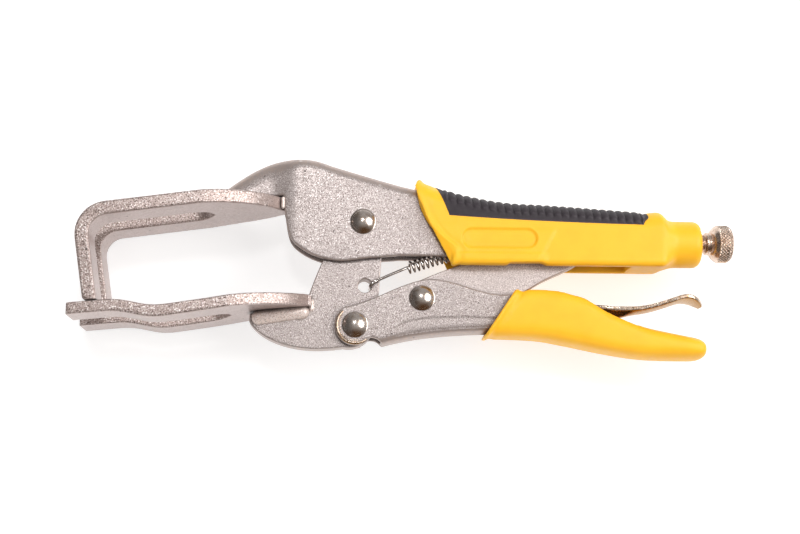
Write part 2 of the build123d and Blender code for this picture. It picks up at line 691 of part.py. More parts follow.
# ---- lower grip: a moulded sleeve over the end of the lower handle ----
LOWER_GRIP_HALF = 10.4
with BuildPart() as lower_grip:
    with BuildSketch(side()):
        with BuildLine():
            top = Spline(
                (64.2, -28.6), (71.0, -28.0), (81.5, -28.5), (88.6, -30.2), (94.0, -31.9),
                (104.0, -38.0), (117.5, -43.2), (130.0, -45.6), (142.0, -48.2),
            )
            nose = ThreePointArc(top @ 1, (145.3, -52.9), (140.0, -57.4))
            under = Spline(
                nose @ 1, (129.0, -57.4), (115.8, -56.4), (85.4, -50.9), (72.0, -48.8),
                (50.8, -48.2),
            )
            Line(under @ 1, top @ 0)
        make_face()
    extrude(amount=LOWER_GRIP_HALF, both=True)
    sleeve_edges = [
        e for e in lower_grip.edges()
        if abs(abs(e.center().Z) - LOWER_GRIP_HALF) < 0.01 and e.length > 30.0
    ]
    chamfer(sleeve_edges, length=3.0)
    # Room for the channel and, above it, for the lever.
    with BuildSketch(side()):
        with BuildLine():
            floor = Spline(
                (139.0, -55.6), (116.0, -54.4), (85.0, -49.1), (72.0, -47.0), (50.5, -46.7),
                (30.0, -48.4),
            )
            Polyline(floor @ 1, (30.0, 0.0), (116.0, 0.0), (116.0, -46.0), (122.0, -48.2),
                     (141.8, -50.6), (141.8, -55.0), floor @ 0)
        make_face()
    extrude(amount=BODY_HALF + GRIP_FIT, both=True, mode=Mode.SUBTRACT)
finish(lower_grip, "lower_grip")
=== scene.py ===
import json
import math

import bmesh
import bpy
import numpy as np
from mathutils import Matrix, Vector


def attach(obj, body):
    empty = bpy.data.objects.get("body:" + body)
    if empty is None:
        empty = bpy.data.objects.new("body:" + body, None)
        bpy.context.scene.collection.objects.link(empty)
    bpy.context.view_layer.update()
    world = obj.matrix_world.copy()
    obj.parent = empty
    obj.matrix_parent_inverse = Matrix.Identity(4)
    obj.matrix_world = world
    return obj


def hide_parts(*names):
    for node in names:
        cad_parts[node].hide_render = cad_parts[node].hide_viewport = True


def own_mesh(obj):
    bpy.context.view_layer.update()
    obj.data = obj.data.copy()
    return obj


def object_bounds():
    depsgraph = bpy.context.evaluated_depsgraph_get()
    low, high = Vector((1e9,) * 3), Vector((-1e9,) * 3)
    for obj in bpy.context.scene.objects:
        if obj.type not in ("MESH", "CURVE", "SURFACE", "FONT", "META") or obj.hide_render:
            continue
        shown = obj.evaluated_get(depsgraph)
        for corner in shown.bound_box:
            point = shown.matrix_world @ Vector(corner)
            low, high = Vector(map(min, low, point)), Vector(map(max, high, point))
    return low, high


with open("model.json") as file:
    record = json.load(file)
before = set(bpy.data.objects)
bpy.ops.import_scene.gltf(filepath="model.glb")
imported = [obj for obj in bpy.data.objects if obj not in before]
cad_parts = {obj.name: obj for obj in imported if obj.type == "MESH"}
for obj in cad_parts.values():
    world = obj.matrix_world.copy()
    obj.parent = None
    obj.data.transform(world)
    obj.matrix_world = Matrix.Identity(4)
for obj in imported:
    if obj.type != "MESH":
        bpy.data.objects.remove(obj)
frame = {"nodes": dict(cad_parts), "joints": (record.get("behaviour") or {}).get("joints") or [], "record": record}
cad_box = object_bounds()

MM = 0.001
scene = bpy.context.scene
joint_at = {j["name"]: j for j in frame["joints"]}
PIVOT = Vector(joint_at["jaw_swing"]["pos_m"])
ORIGIN = np.array(PIVOT)


def at(x, y, z=0.0):
    """Point in metres from millimetres measured off the jaw pivot's axis."""
    return PIVOT + Vector((x, y, z)) * MM


def pivot_mm(joint):
    """A joint's place in millimetres from the jaw pivot, on the mid-plane."""
    return [(joint_at[joint]["pos_m"][i] - PIVOT[i]) / MM for i in range(2)]


# ---- camera: looks down on the tool, from a little towards the lower handle ----
def make_camera():
    data = bpy.data.cameras.new("camera")
    data.lens = 63.0
    data.sensor_width = 36.0
    data.clip_start = 0.01
    camera = bpy.data.objects.new("camera", data)
    scene.collection.objects.link(camera)
    right = Vector((0.99822, 0.0, 0.05968)).normalized()
    up = Vector((-0.01041, 0.98467, 0.17412))
    back = right.cross(up).normalized()
    up = back.cross(right).normalized()
    turn = Matrix((right, up, back)).transposed()
    camera.matrix_world = Matrix.Translation(at(-18.95, -121.85, 584.56)) @ turn.to_4x4()
    scene.camera = camera


make_camera()


# ---- node helpers ----
class Finish:
    """A material under construction: its node tree and shader, with short ways to add nodes."""

    def __init__(self, name):
        self.material = bpy.data.materials.new(name)
        self.material.use_nodes = True
        self.tree = self.material.node_tree
        self.shader = self.tree.nodes["Principled BSDF"]
        self.place = self.tree.nodes.new("ShaderNodeTexCoord")

    def wire(self, source, target):
        self.tree.links.new(source, target)

    def put(self, target, value):
        if isinstance(value, bpy.types.NodeSocket):
            self.wire(value, target)
        else:
            target.default_value = value

    def noise(self, size_mm, detail=3.0, rough=0.55, stretch=None):
        node = self.tree.nodes.new("ShaderNodeTexNoise")
        node.inputs["Scale"].default_value = 1.0 / (size_mm * MM)
        node.inputs["Detail"].default_value = detail
        node.inputs["Roughness"].default_value = rough
        if stretch is None:
            self.wire(self.place.outputs["Object"], node.inputs["Vector"])
        else:
            mapping = self.tree.nodes.new("ShaderNodeMapping")
            mapping.inputs["Scale"].default_value = stretch
            self.wire(self.place.outputs["Object"], mapping.inputs["Vector"])
            self.wire(mapping.outputs["Vector"], node.inputs["Vector"])
        return node.outputs["Fac"]

    def cells(self, size_mm):
        node = self.tree.nodes.new("ShaderNodeTexVoronoi")
        node.inputs["Scale"].default_value = 1.0 / (size_mm * MM)
        self.wire(self.place.outputs["Object"], node.inputs["Vector"])
        return node.outputs["Distance"]

    def span(self, value, low, high, to_low=0.0, to_high=1.0):
        node = self.tree.nodes.new("ShaderNodeMapRange")
        node.interpolation_type = "SMOOTHSTEP"
        self.wire(value, node.inputs["Value"])
        for key, number in (("From Min", low), ("From Max", high), ("To Min", to_low), ("To Max", to_high)):
            node.inputs[key].default_value = number
        return node.outputs["Result"]

    def math(self, kind, first, second=0.0):
        node = self.tree.nodes.new("ShaderNodeMath")
        node.operation = kind
        self.put(node.inputs[0], first)
        self.put(node.inputs[1], second)
        return node.outputs[0]

    def ramp(self, value, stops):
        node = self.tree.nodes.new("ShaderNodeValToRGB")
        elements = node.color_ramp.elements
        while len(elements) < len(stops):
            elements.new(0.5)
        for element, (spot, colour) in zip(elements, stops):
            element.position = spot
            element.color = (*colour, 1.0)
        self.wire(value, node.inputs["Fac"])
        return node.outputs["Color"]

    def blend(self, amount, first, second, kind="MIX"):
        node = self.tree.nodes.new("ShaderNodeMix")
        node.data_type = "RGBA"
        node.blend_type = kind
        self.put(node.inputs[0], amount)
        for socket, value in ((node.inputs[6], first), (node.inputs[7], second)):
            self.put(socket, value if isinstance(value, bpy.types.NodeSocket) else (*value, 1.0))
        return node.outputs[2]

    def facing(self, axis, low, high, either=False):
        """0 to 1 as the surface's own normal leans along an axis, or either way along it."""
        split = self.tree.nodes.new("ShaderNodeSeparateXYZ")
        self.wire(self.place.outputs["Normal"], split.inputs[0])
        lean = split.outputs[axis]
        return self.span(self.math("ABSOLUTE", lean) if either else lean, low, high)

    def edges(self, low=0.52, high=0.6):
        # 1 on sharply convex edges; the finishes paint edge highlights with it
        node = self.tree.nodes.new("ShaderNodeNewGeometry")
        return self.span(node.outputs["Pointiness"], low, high)

    def hollow(self, reach_mm, low, high, most):
        """Painted shade: most in corners and under overlaps, down to 0 in the open."""
        node = self.tree.nodes.new("ShaderNodeAmbientOcclusion")
        node.inputs["Distance"].default_value = reach_mm * MM
        node.samples = 6
        return self.span(node.outputs["AO"], low, high, most, 0.0)

    def bump(self, height, depth_mm, strength=1.0, below=None):
        node = self.tree.nodes.new("ShaderNodeBump")
        node.inputs["Distance"].default_value = depth_mm * MM
        node.inputs["Strength"].default_value = strength
        self.wire(height, node.inputs["Height"])
        if below is not None:
            self.wire(below, node.inputs["Normal"])
        return node.outputs["Normal"]

    def close(self, **sockets):
        for key, value in sockets.items():
            self.put(self.shader.inputs[key.replace("_", " ")], value)
        return self.material


def linear(red, green, blue):
    """Scene colour from a display colour given in 0 to 255."""
    return tuple(
        ((c / 255 + 0.055) / 1.055) ** 2.4 if c > 10.3 else c / 255 / 12.92
        for c in (red, green, blue)
    )


def plated_steel(name, dark, base, light, grain_mm, relief_mm, rough, smooth_tone, pit_mm=6.5,
                 metallic=0.68, side_low=0.90):
    """Satin-plated steel: a fine pebbled grain on its flat sides, smooth round its outline,
    with small pits, faint stains, painted highlights on sharp edges and painted shade in creases."""
    f = Finish(name)
    grain = f.noise(grain_mm, 2.5, 0.6)
    sides = f.facing("Z", side_low, 0.985, either=True)
    stains = f.noise(13.0, 4.0, 0.6)
    speckled = f.ramp(grain, [(0.34, dark), (0.46, base), (0.56, base), (0.66, light)])
    smooth = f.blend(f.span(f.noise(1.1, 4.0), 0.35, 0.7), smooth_tone, base)
    tone = f.blend(sides, smooth, speckled)
    tone = f.blend(f.span(stains, 0.42, 0.68, 0.0, 0.20), tone, tuple(0.72 * c for c in base))
    pits = f.span(f.cells(pit_mm), 0.035, 0.075, 1.0, 0.0)
    tone = f.blend(f.math("MULTIPLY", pits, 0.75), tone, tuple(0.35 * c for c in dark))
    # painted highlight: the light colour along sharp edges
    tone = f.blend(f.math("MULTIPLY", f.edges(), 0.45), tone, light)
    # painted shade: darker colour in creases and where parts overlap or touch
    tone = f.blend(f.hollow(2.4, 0.35, 0.92, 0.75), tone, tuple(0.45 * c for c in dark))
    uneven = f.span(f.noise(0.8, 3.0), 0.3, 0.7, rough - 0.07, rough + 0.09)
    deep = f.bump(f.math("SUBTRACT", 0.5, pits), 0.12, 0.5)
    hammered = f.bump(f.noise(2.4, 2.0), 0.05, 0.6, deep)
    fine = f.bump(f.math("MULTIPLY", grain, f.math("ADD", f.math("MULTIPLY", sides, 0.8), 0.2)),
                  relief_mm, 0.9, hammered)
    return f.close(Base_Color=tone, Metallic=metallic, Roughness=uneven, Normal=fine)


def bright_steel(name, base, rough, grain_mm, relief_mm, stretch=None, tarnish=None, under=None):
    """Turned or drawn steel: nearly polished, with fine tool marks, faint tarnish and a painted highlight along
    its edges; under, if given, is a painted reflection on downward faces.
    """
    f = Finish(name)
    marks = f.noise(grain_mm, 3.0, 0.6, stretch)
    haze = f.noise(3.0, 4.0, 0.6)
    low = tarnish or tuple(0.6 * c for c in base)
    tone = f.blend(f.span(haze, 0.42, 0.72), base, low)
    # painted reflection: faces turned down (-Y) take the under colour, the brown surroundings reflected
    if under is not None:
        tone = f.blend(f.facing("Y", -0.2, -0.8), tone, under)
    # painted highlight: sharp edges lightened past the base colour
    tone = f.blend(f.math("MULTIPLY", f.edges(), 0.4), tone, tuple(min(1.0, 1.25 * c) for c in base))
    uneven = f.span(marks, 0.3, 0.7, rough * 0.75, rough * 1.35)
    fine = f.bump(marks, relief_mm, 0.6)
    return f.close(Base_Color=tone, Metallic=1.0, Roughness=uneven, Normal=fine)


def moulded(name, base, deep, edge_highlight, grain_mm, relief_mm, rough, soft, edge=0.3):
    """Moulded plastic or rubber: fine leathery grain, faint mottling, deeper colour painted as shade in hollows,
    lighter colour painted as a highlight along its edges.
    """
    f = Finish(name)
    grain = f.noise(grain_mm, 3.0, 0.5)
    cloud = f.noise(9.0, 3.0)
    tone = f.blend(f.span(cloud, 0.35, 0.75, 0.0, 0.12), base, deep)
    # painted shade: the deep colour in creases and under overlaps
    tone = f.blend(f.hollow(3.0, 0.35, 0.95, 0.85), tone, deep)
    # painted highlight: lighter colour along sharp edges
    tone = f.blend(f.math("MULTIPLY", f.edges(0.515, 0.56), edge), tone, edge_highlight)
    uneven = f.span(f.noise(2.2, 3.0), 0.3, 0.7, rough - 0.05, rough + 0.08)
    fine = f.bump(grain, relief_mm, 0.6)
    material = f.close(Base_Color=tone, Roughness=uneven, Normal=fine)
    shader = f.shader
    shader.inputs["Specular IOR Level"].default_value = 0.38
    if soft:
        shader.inputs["Subsurface Weight"].default_value = soft
        shader.inputs["Subsurface Radius"].default_value = (1.0, 0.55, 0.12)
        shader.inputs["Subsurface Scale"].default_value = 1.2 * MM
    return material


# NICKEL_DARK also gives the painted shade in creases, NICKEL_LIGHT the painted highlight on edges
NICKEL_DARK = linear(106, 92, 88)
NICKEL = linear(182, 171, 168)
NICKEL_LIGHT = linear(244, 238, 236)
NICKEL_SMOOTH = linear(194, 177, 168)

materials = {
    "cheek_steel": plated_steel(
        "cheek_steel", NICKEL_DARK, NICKEL, NICKEL_LIGHT, 0.42, 0.045, 0.42, NICKEL_SMOOTH),
    "fork_steel": plated_steel(
        "fork_steel", linear(84, 70, 64), linear(184, 166, 160), linear(255, 250, 248),
        0.60, 0.15, 0.34, linear(200, 184, 180), pit_mm=8.0, metallic=0.70, side_low=0.45),
    "link_steel": plated_steel(
        "link_steel", linear(140, 126, 122), linear(198, 187, 184), NICKEL_LIGHT, 0.40, 0.035, 0.42,
        NICKEL_SMOOTH, pit_mm=11.0),
    # the lever's under colour is a painted reflection of the brown below on its downward faces
    "lever_steel": bright_steel(
        "lever_steel", linear(206, 188, 172), 0.27, 0.6, 0.02, (1.0, 0.25, 1.0),
        tarnish=linear(160, 128, 96), under=linear(176, 136, 82)),
    "rivet_steel": bright_steel(
        "rivet_steel", linear(226, 216, 208), 0.20, 0.5, 0.006, tarnish=linear(186, 166, 150)),
    "screw_steel": bright_steel(
        "screw_steel", linear(230, 212, 198), 0.27, 0.4, 0.012, tarnish=linear(180, 152, 130)),
    "spring_wire": bright_steel(
        "spring_wire", linear(232, 226, 222), 0.16, 0.5, 0.004, tarnish=linear(150, 136, 126)),
    "weld_bead": plated_steel(
        "weld_bead", linear(190, 168, 158), linear(240, 224, 216), NICKEL_LIGHT, 0.55, 0.05, 0.30,
        linear(240, 224, 214), pit_mm=9.0, metallic=0.25, side_low=0.05),
    # second colour: mottling and painted shade in creases; third: painted highlight on edges
    "yellow_grip": moulded(
        "yellow_grip", linear(255, 192, 42), linear(238, 144, 6), linear(255, 212, 88),
        0.35, 0.018, 0.40, 0.10, 0.25),
    # second colour: mottling and painted shade in creases; third: painted highlight on edges
    "soft_insert": moulded(
        "soft_insert", linear(50, 44, 49), linear(24, 21, 24), linear(86, 80, 86),
        0.30, 0.04, 0.55, 0.0, 0.7),
}
slot_nodes = {
    "cheek_steel": ["upper_body", "lower_handle", "lower_jaw_plate"],
    "fork_steel": ["upper_jaw_fork", "lower_jaw_fork"],
    "link_steel": ["toggle_link"],
    "lever_steel": ["release_lever"],
    "rivet_steel": ["jaw_pivot_rivet", "handle_pivot_rivet", "toggle_pivot_rivet",
                    "release_lever_pin", "spring_anchor_pin"],
    "screw_steel": ["adjusting_screw", "screw_bush", "knurled_knob"],
    "spring_wire": ["return_spring"],
    "weld_bead": ["upper_jaw_weld", "lower_jaw_welds"],
    "yellow_grip": ["upper_grip", "lower_grip"],
    "soft_insert": ["upper_grip_insert"],
}
slot_of = {node: slot for slot, nodes in slot_nodes.items() for node in nodes}
body_of_node = {}
for body_name, members in frame["record"]["behaviour"]["bodies"].items():
    for member in members:
        body_of_node[member] = body_name


# ---- mesh helpers ----
def new_mesh(name, points, faces):
    """Mesh from points in millimetres off the jaw pivot."""
    mesh = bpy.data.meshes.new(name)
    points = np.asarray(points, float) * MM + ORIGIN
    mesh.from_pydata([tuple(p) for p in points], [], [tuple(f) for f in faces])
    mesh.validate()
    mesh.update()
    return mesh


def tidy_normals(mesh):
    bm = bmesh.new()
    bm.from_mesh(mesh)
    bmesh.ops.remove_doubles(bm, verts=bm.verts, dist=1e-6)
    bmesh.ops.recalc_face_normals(bm, faces=bm.faces)
    bm.to_mesh(mesh)
    bm.free()


def grid_faces(rows, cols, ring, ends=False):
    """Quads of a grid of points. ring closes every row on itself; ends caps first and last rows."""
    faces = []
    span = cols if ring else cols - 1
    for r in range(rows - 1):
        for c in range(span):
            d = (c + 1) % cols
            faces.append((r * cols + c, r * cols + d, (r + 1) * cols + d, (r + 1) * cols + c))
    if ends:
        faces.append(tuple(range(cols)))
        faces.append(tuple((rows - 1) * cols + c for c in reversed(range(cols))))
    return faces


def add_piece(name, mesh, slot, body, replaces=(), sharp_angle=None):
    piece = bpy.data.objects.new(name, mesh)
    scene.collection.objects.link(piece)
    for polygon in mesh.polygons:
        polygon.use_smooth = True
    if sharp_angle is not None:
        mesh.set_sharp_from_angle(angle=math.radians(sharp_angle))
    mesh.materials.clear()
    mesh.materials.append(materials[slot])
    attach(piece, body)
    if replaces:
        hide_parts(*replaces)
    return piece


def applied(mesh, build):
    """The mesh after a throwaway object's modifiers, which build adds."""
    helper = bpy.data.objects.new("helper", mesh)
    scene.collection.objects.link(helper)
    extra = build(helper) or []
    graph = bpy.context.evaluated_depsgraph_get()
    graph.update()
    result = bpy.data.meshes.new_from_object(helper.evaluated_get(graph))
    for thing in [helper, *extra]:
        bpy.data.objects.remove(thing)
    return result


def smooth_curve(points, steps=16):
    """Catmull-Rom curve through points, sampled."""
    p = np.asarray(points, float)
    p = np.vstack([2 * p[0] - p[1], p, 2 * p[-1] - p[-2]])
    out = []
    for i in range(1, len(p) - 2):
        for t in np.linspace(0, 1, steps, endpoint=False):
            a, b, c, d = p[i - 1], p[i], p[i + 1], p[i + 2]
            out.append(0.5 * (2 * b + (c - a) * t + (2 * a - 5 * b + 4 * c - d) * t ** 2
                              + (3 * b - a - 3 * c + d) * t ** 3))
    out.append(p[-2])
    return np.array(out)


def step(value, low, high):
    t = np.clip((value - low) / (high - low), 0, 1)
    return t * t * (3 - 2 * t)


def line_of(points):
    curve = smooth_curve(points)
    order = np.argsort(curve[:, 0])
    return lambda x: np.interp(x, curve[order, 0], curve[order, 1])


def moulding(mesh, cutters, voxel_mm, rounds):
    """A form with cutters taken out of it, remeshed finely and smoothed to moulded edges."""
    def cut(helper):
        extra = []
        for i, cutter in enumerate(cutters):
            tool = bpy.data.objects.new(f"cutter_{i}", cutter)
            scene.collection.objects.link(tool)
            modifier = helper.modifiers.new(f"cut_{i}", "BOOLEAN")
            modifier.operation = "DIFFERENCE"
            modifier.solver = "EXACT"
            modifier.object = tool
            extra.append(tool)
        fine = helper.modifiers.new("fine", "REMESH")
        fine.mode = "VOXEL"
        fine.voxel_size = voxel_mm * MM
        soften = helper.modifiers.new("soften", "SMOOTH")
        soften.factor = 0.5
        soften.iterations = rounds
        return extra
    return applied(mesh, cut)


def get_points(mesh):
    co = np.zeros(len(mesh.vertices) * 3)
    mesh.vertices.foreach_get("co", co)
    return (co.reshape(-1, 3) - ORIGIN) / MM


def set_points(mesh, points):
    mesh.vertices.foreach_set("co", (points * MM + ORIGIN).ravel())
    mesh.update()


# ---- steel parts: the CAD shapes, softened like plated steel ----
BODY_HALF = 7.0
crest_line = line_of([(-62.0, 10.4), (-56.8, 14.9), (-48.0, 21.1), (-40.0, 25.2), (-33.9, 26.8),
                      (-26.6, 27.4), (-19.7, 26.7), (-11.6, 24.1), (0.7, 20.5), (15.8, 16.3),
                      (28.0, 13.6), (44.0, 9.8), (58.0, 7.4), (90.0, 5.4), (128.0, 3.0)])
pressed_line = line_of([(8.0, -50.0), (14.0, -44.8), (18.6, -42.2), (30.0, -40.4), (51.0, -40.2),
                        (75.0, -41.5)])


def softened(node, voxel_mm, rounds, new_name, shape=None):
    """A CAD node remeshed finely, its edges rounded off, and reshaped by shape."""
    mesh = moulding(frame["nodes"][node].data.copy(), [], voxel_mm, rounds)
    if shape is not None:
        set_points(mesh, shape(get_points(mesh)))
    return add_piece(new_name, mesh, slot_of[node], body_of_node[node], [node])


def rounded_crest(p):
    """A round over the folded body's crest, rounder still along the beak."""
    beak = 1 - step(p[:, 0], -40.0, -25.0)
    round_y = 4.6 + 4.4 * beak
    round_z = 4.4 + 0.2 * beak
    centre_z = BODY_HALF - 2.0 * step(-p[:, 0], 27.0, 40.0) - round_z
    centre_y = crest_line(p[:, 0]) - round_y
    qz = (np.abs(p[:, 2]) - centre_z) / round_z
    qy = (p[:, 1] - centre_y) / round_y
    reach = np.hypot(np.maximum(qz, 0), np.maximum(qy, 0))
    outside = (qz > 0) & (qy > 0) & (reach > 1)
    shrink = np.where(outside, 1 / np.maximum(reach, 1e-9), 1.0)
    p[:, 2] = np.where(outside, np.sign(p[:, 2]) * (centre_z + qz * shrink * round_z), p[:, 2])
    p[:, 1] = np.where(outside, centre_y + qy * shrink * round_y, p[:, 1])
    return p


def long_shoulder(shoulder_x, neck_x, reach):
    """Draws a fork's shoulder out towards its root, so that it runs into the body."""
    def shape(p):
        past = np.maximum(p[:, 0] - neck_x, 0)
        p[:, 0] += reach * step(p[:, 0], shoulder_x, neck_x) * np.maximum(1 - past / (reach + 0.4), 0)
        return p
    return shape


def pressed_step(p):
    """A shallow pressed step along the lower handle's cheeks."""
    below = pressed_line(p[:, 0]) - p[:, 1]
    on_cheek = (np.abs(p[:, 2]) > BODY_HALF - 0.5) * step(p[:, 0], 10.0, 18.0)
    p[:, 2] -= np.sign(p[:, 2]) * 0.22 * on_cheek * step(below, -0.3, 0.5)
    return p


lever_half = line_of([(60.0, 4.3), (99.0, 4.3), (106.0, 6.2), (118.0, 6.9), (130.0, 8.0),
                      (137.0, 8.3), (146.0, 8.3)])


def dished(p):
    """The lever's strip hollowed along its thumb side, deepest at its middle."""
    across = 1 - np.clip(np.abs(p[:, 2]) / lever_half(p[:, 0]), 0, 1) ** 2
    p[:, 1] -= 3.0 * across * step(p[:, 0], 94.0, 105.0) * (1 - 0.7 * step(p[:, 0], 105.0, 118.0))
    return p


softened("upper_body", 0.52, 2, "folded_upper_body", rounded_crest)
softened("upper_jaw_fork", 0.42, 2, "upper_fork_plate", long_shoulder(-66.0, -37.5, 3.1))
softened("lower_jaw_fork", 0.42, 2, "lower_fork_plate", long_shoulder(-55.0, -27.0, 4.3))
softened("lower_jaw_plate", 0.38, 2, "jaw_plate")
softened("lower_handle", 0.40, 2, "folded_lower_handle", pressed_step)
softened("toggle_link", 0.38, 2, "folded_toggle_link")
softened("release_lever", 0.34, 2, "release_lever_strip", dished)


# ---- rivet heads ----
def lathe(name, profile, centre, axis, slot, body, replaces=(), turns=64, sharp_angle=40.0):
    """Surface turned round an axis (0 for X, 2 for Z) from (along, radius) points."""
    points = []
    angles = np.linspace(0, 2 * math.pi, turns, endpoint=False)
    for along, radius in profile:
        c, s = radius * np.cos(angles), radius * np.sin(angles)
        if axis == 2:
            ring = np.stack([centre[0] + c, centre[1] + s, np.full(turns, centre[2] + along)], 1)
        else:
            ring = np.stack([np.full(turns, centre[0] + along), centre[1] + c, centre[2] + s], 1)
        points.append(ring)
    mesh = new_mesh(name, np.concatenate(points), grid_faces(len(profile), turns, True, True))
    tidy_normals(mesh)
    return add_piece(name, mesh, slot, body, replaces, sharp_angle)


HEAD_R = 5.4
HEAD_H = 2.6
SHANK_R = 3.6


def rivet(node, place, body):
    """Shank and two domed heads with a thin rolled rim, as one turned piece."""
    sphere = (HEAD_R ** 2 + HEAD_H ** 2) / (2 * HEAD_H)
    dome = []
    for k in range(15):
        angle = math.asin((HEAD_R - 0.12) / sphere) * (1 - k / 14)
        dome.append((sphere * math.cos(angle) - sphere + HEAD_H, sphere * math.sin(angle) + 0.0005))
    rim = [(0.02, SHANK_R), (0.02, HEAD_R - 0.1), (0.12, HEAD_R), (0.30, HEAD_R - 0.02)]
    upper = [(BODY_HALF + a, r) for a, r in rim + dome[1:]]
    lower = [(-a, r) for a, r in reversed(upper)]
    lathe(node + "_turned", lower + upper, (*place, 0.0), 2, "rivet_steel", body, [node])


rivet("jaw_pivot_rivet", (0.0, 0.0), body_of_node["jaw_pivot_rivet"])
rivet("handle_pivot_rivet", pivot_mm("handle_swing"), body_of_node["handle_pivot_rivet"])
rivet("toggle_pivot_rivet", pivot_mm("link_swing"), body_of_node["toggle_pivot_rivet"])


# ---- wires and beads: a round section along a path ----
def tube(path, radius, sides=12, caps=True):
    """Points and faces of a tube along a path, its section carried without twist."""
    path = np.asarray(path, float)
    radius = np.broadcast_to(radius, len(path))
    tangents = np.gradient(path, axis=0)
    tangents /= np.linalg.norm(tangents, axis=1)[:, None]
    side = np.cross(tangents[0], (0.3, 0.5, 0.81))
    side /= np.linalg.norm(side)
    points = []
    angles = np.linspace(0, 2 * math.pi, sides, endpoint=False)
    for place, tangent, r in zip(path, tangents, radius):
        side = side - tangent * side.dot(tangent)
        side /= np.linalg.norm(side)
        other = np.cross(tangent, side)
        points.append(place + r * (np.cos(angles)[:, None] * side + np.sin(angles)[:, None] * other))
    return np.concatenate(points), grid_faces(len(path), sides, True, caps)


def joined(name, tubes):
    """One mesh from several (points, faces) tubes."""
    all_points, all_faces, count = [], [], 0
    for points, faces in tubes:
        all_faces += [tuple(i + count for i in f) for f in faces]
        all_points.append(points)
        count += len(points)
    mesh = new_mesh(name, np.concatenate(all_points), all_faces)
    tidy_normals(mesh)
    return mesh


def wobble(points, size_mm, amount, seed):
    """Small smooth pseudo-random moves, the same on every run."""
    rng = np.random.default_rng(seed)
    moved = np.array(points, float)
    for _ in range(6):
        direction = rng.normal(size=3)
        direction *= 2 * math.pi / size_mm * rng.uniform(0.6, 1.5) / np.linalg.norm(direction)
        phase = rng.uniform(0, 2 * math.pi)
        moved += amount * np.sin(moved @ direction + phase)[:, None] * rng.normal(size=3) / 2.5
    return moved


def weld(name, runs, replaces, body, seed):
    """Weld beads: rods that swell and ripple along their run."""
    tubes, count = [], 0
    rng = np.random.default_rng(seed)
    for start, end, radius in runs:
        start, end = np.array(start, float), np.array(end, float)
        length = np.linalg.norm(end - start)
        count_along = max(16, int(length / 0.35))
        s = np.linspace(0, 1, count_along)
        path = start + (end - start) * s[:, None]
        reach = np.minimum(s, 1 - s) * length / (0.9 * radius)
        swell = np.sqrt(np.clip(1 - (1 - np.clip(reach, 0, 1)) ** 2, 0.02, 1))
        ripple = 1 + 0.012 * np.sin(s * length * 2 * math.pi / 1.9 + rng.uniform(0, 6))
        points, faces = tube(path, radius * swell * ripple, 28)
        tubes.append((wobble(points, 3.2, 0.045, seed + count), faces))
        count += len(points)
    return add_piece(name, joined(name, tubes), "weld_bead", body, replaces)


upper_runs, lower_runs = [], []
for z in (-1, 1):
    upper_runs.append(((-33.7, 5.2, z * 6.0), (-33.7, 10.4, z * 6.0), 0.8))
    upper_runs.append(((-56.0, 10.6, z * 4.9), (-39.0, 10.8, z * 4.9), 1.2))
    lower_runs.append(((-22.2, -37.9, z * 3.6), (-46.3, -41.4, z * 3.4), 3.1))
    lower_runs.append(((-21.6, -32.4, z * 3.4), (-21.2, -38.4, z * 3.4), 1.5))
weld("upper_weld_beads", upper_runs, ["upper_jaw_weld"], body_of_node["upper_jaw_weld"], 3)
weld("lower_weld_beads", lower_runs, ["lower_jaw_welds"], body_of_node["lower_jaw_welds"], 11)

# ---- return spring ----
WIRE_R = 0.6
COIL_R = 2.2                     # to the middle of the wire
COIL_Z = 1.4
HOOK = np.array((3.1, -27.2))
COIL_START = np.array((19.2, -18.9, COIL_Z))
COIL_END = np.array((48.0, -9.7, COIL_Z))
ANCHOR = np.array((58.0, -6.2, COIL_Z))
LOOP_R = 2.15
COIL_TURNS = 15


def spring_path():
    """The wire's middle line: the hooked leg, the coil, and the loop round the anchor pin."""
    axis = COIL_END - COIL_START
    length = np.linalg.norm(axis)
    axis /= length
    up = np.array((0.0, 0.0, 1.0))
    side = np.cross(axis, up)
    turn = np.linspace(0, COIL_TURNS * 2 * math.pi, COIL_TURNS * 28 + 1)
    spread = np.linspace(0, length, len(turn))
    coil = COIL_START + axis * spread[:, None] + COIL_R * (
        np.cos(turn)[:, None] * up + np.sin(turn)[:, None] * side)
    leg = smooth_curve([
        (*HOOK, -5.0), (*HOOK, -2.0), (*HOOK, 3.7), (3.5, -26.7, 5.1), (5.2, -25.4, 5.2),
        (11.0, -22.6, 4.8), (16.5, -20.1, 4.0), tuple(coil[0] - axis * 0.6)], 10)
    loop_turn = np.linspace(math.pi, -0.7 * math.pi, 30)
    along = ANCHOR - COIL_END
    along /= np.linalg.norm(along)
    lift = np.cross(up, along)
    loop = ANCHOR + LOOP_R * (np.cos(loop_turn)[:, None] * along + np.sin(loop_turn)[:, None] * lift)
    link = smooth_curve([tuple(coil[-1] + axis * 0.8), tuple(ANCHOR - along * 5.0), tuple(loop[0])], 8)
    return np.vstack([leg[:-1], coil, link[:-1], loop])


spring_points, spring_faces = tube(spring_path(), WIRE_R, 10)
spring_mesh = new_mesh("return_spring_wire", spring_points, spring_faces)
tidy_normals(spring_mesh)
spring = add_piece("return_spring_wire", spring_mesh, "spring_wire", "upper_handle", ["return_spring"])

# ---- adjusting screw and knob ----
SCREW_Y = -6.7
SCREW_R = 4.15
THREAD_PITCH = 1.25
THREAD_DEPTH = 0.7
SCREW_X = (105.0, 150.0)
KNOB_X = (147.7, 159.1)
KNOB_R = 8.1
KNURLS = 34


